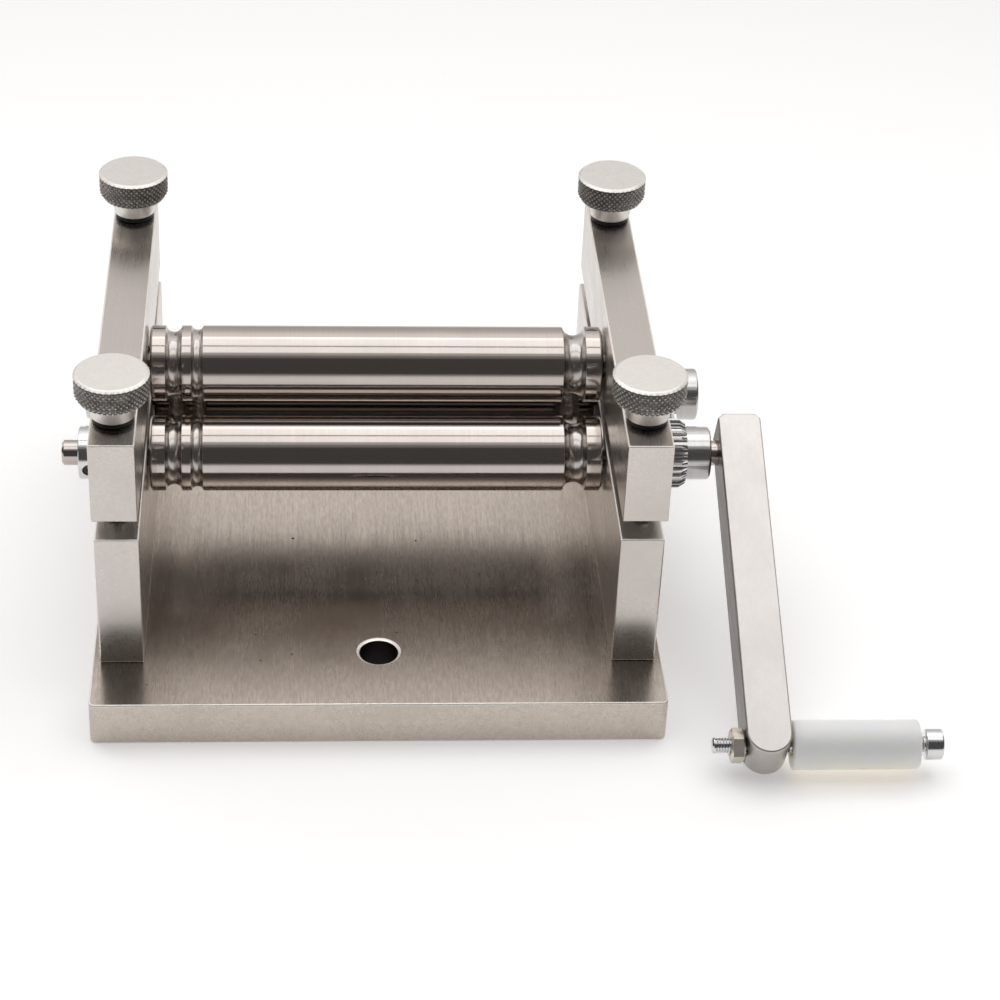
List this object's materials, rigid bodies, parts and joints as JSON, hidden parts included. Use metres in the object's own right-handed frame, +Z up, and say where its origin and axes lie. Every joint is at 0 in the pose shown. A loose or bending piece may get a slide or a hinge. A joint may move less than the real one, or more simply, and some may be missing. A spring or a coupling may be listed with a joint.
{
  "type": "hand-cranked roller machine",
  "caption": "Small bench roller: grooved steel rolls between two cheeks, geared and turned by a side crank, with a top roll set by knurled thumb screws.",
  "frame": {"origin": "middle of the base plate's underside", "axes": "+X along the rolls towards the crank, +Y from front to back, +Z up"},
  "size_m": [0.156, 0.1271, 0.0642],
  "materials": {
    "base_steel": "ground, fine lines from front to back",
    "machined_steel": "ground satin steel",
    "crank_steel": "satin bright steel",
    "roll_steel": "polished steel",
    "gear_steel": "turned bright steel",
    "bush_bronze": "sintered bronze",
    "spring_steel": "drawn spring wire",
    "black_screw": "black oxide",
    "black_washer": "black nylon",
    "thumb_screw_steel": "knurled, blasted bright finish",
    "bright_hardware": "bright plated steel",
    "grip_nylon": "milky translucent nylon"
  },
  "bodies": {
    "stand": {"base_plate": "base_steel", "left_side_frame": "machined_steel", "right_side_frame": "machined_steel", "idler_pin": "bright_hardware", "idler_clip": "spring_steel", "left_front_frame_screw": "black_screw", "left_rear_frame_screw": "black_screw", "right_front_frame_screw": "black_screw", "right_rear_frame_screw": "black_screw", "front_left_bush": "bush_bronze", "rear_left_bush": "bush_bronze", "front_right_bush": "bush_bronze", "rear_right_bush": "bush_bronze", "left_front_lift_spring": "spring_steel", "left_rear_lift_spring": "spring_steel", "right_front_lift_spring": "spring_steel", "right_rear_lift_spring": "spring_steel"},
    "crank_and_front_roller": {"front_lower_roller": "roll_steel", "drive_gear": "gear_steel", "drive_gear_set_screw": "black_screw", "front_shaft_collar": "bright_hardware", "front_collar_set_screw": "black_screw", "crank_arm": "crank_steel", "crank_set_screw": "black_screw", "handle_screw": "bright_hardware", "handle_nut": "bright_hardware"},
    "rear_roller": {"rear_lower_roller": "roll_steel", "rear_gear": "gear_steel", "rear_gear_set_screw": "black_screw", "rear_shaft_collar": "bright_hardware", "rear_collar_set_screw": "black_screw"},
    "idler": {"idler_gear": "gear_steel"},
    "grip": {"handle_grip": "grip_nylon"},
    "top_carriage": {"left_top_bar": "machined_steel", "right_top_bar": "machined_steel", "upper_left_bush": "bush_bronze", "upper_right_bush": "bush_bronze", "left_front_screw_washer": "black_washer", "left_rear_screw_washer": "black_washer", "right_front_screw_washer": "black_washer", "right_rear_screw_washer": "black_washer"},
    "upper_roll": {"upper_roller": "roll_steel"},
    "left_front_screw": {"left_front_thumb_screw": "thumb_screw_steel"},
    "left_rear_screw": {"left_rear_thumb_screw": "thumb_screw_steel"},
    "right_front_screw": {"right_front_thumb_screw": "thumb_screw_steel"},
    "right_rear_screw": {"right_rear_thumb_screw": "thumb_screw_steel"}
  },
  "joints": [
    {"name": "crank_spin", "type": "hinge", "parent": "stand", "child": "crank_and_front_roller", "pos_m": [0, -0.01025, 0.0306], "axis": [1, 0, 0], "continuous": true},
    {"name": "idler_spin", "type": "hinge", "parent": "stand", "child": "idler", "pos_m": [0, 0, 0.0306], "axis": [1, 0, 0], "continuous": true},
    {"name": "rear_roller_spin", "type": "hinge", "parent": "stand", "child": "rear_roller", "pos_m": [0, 0.01025, 0.0306], "axis": [1, 0, 0], "continuous": true},
    {"name": "grip_spin", "type": "hinge", "parent": "crank_and_front_roller", "child": "grip", "pos_m": [0, -0.06549, 0.00593], "axis": [1, 0, 0], "continuous": true},
    {"name": "carriage_lift", "type": "slide", "parent": "stand", "child": "top_carriage", "axis": [0, 0, 1], "range_m": [-0.0031, 0.0034], "deforming": ["left_front_lift_spring", "left_rear_lift_spring", "right_front_lift_spring", "right_rear_lift_spring"]},
    {"name": "upper_roller_spin", "type": "hinge", "parent": "top_carriage", "child": "upper_roll", "pos_m": [0, 0, 0.0436], "axis": [1, 0, 0], "continuous": true},
    {"name": "left_front_screw_turn", "type": "hinge", "parent": "top_carriage", "child": "left_front_screw", "pos_m": [-0.0459, -0.0361, 0.0547], "axis": [0, 0, 1], "range_deg": [-1620, 1800]},
    {"name": "left_rear_screw_turn", "type": "hinge", "parent": "top_carriage", "child": "left_rear_screw", "pos_m": [-0.0459, 0.0361, 0.0547], "axis": [0, 0, 1], "range_deg": [-1620, 1800]},
    {"name": "right_front_screw_turn", "type": "hinge", "parent": "top_carriage", "child": "right_front_screw", "pos_m": [0.0459, -0.0361, 0.0547], "axis": [0, 0, 1], "range_deg": [-1620, 1800]},
    {"name": "right_rear_screw_turn", "type": "hinge", "parent": "top_carriage", "child": "right_rear_screw", "pos_m": [0.0459, 0.0361, 0.0547], "axis": [0, 0, 1], "range_deg": [-1620, 1800]}
  ],
  "couplings": [
    {"joint": "idler_spin", "follows": "crank_spin", "ratio": -1.4118},
    {"joint": "rear_roller_spin", "follows": "crank_spin", "ratio": 1},
    {"joint": "left_front_screw_turn", "follows": "carriage_lift", "rad_per_m": 8976},
    {"joint": "left_rear_screw_turn", "follows": "carriage_lift", "rad_per_m": 8976},
    {"joint": "right_front_screw_turn", "follows": "carriage_lift", "rad_per_m": 8976},
    {"joint": "right_rear_screw_turn", "follows": "carriage_lift", "rad_per_m": 8976}
  ]
}
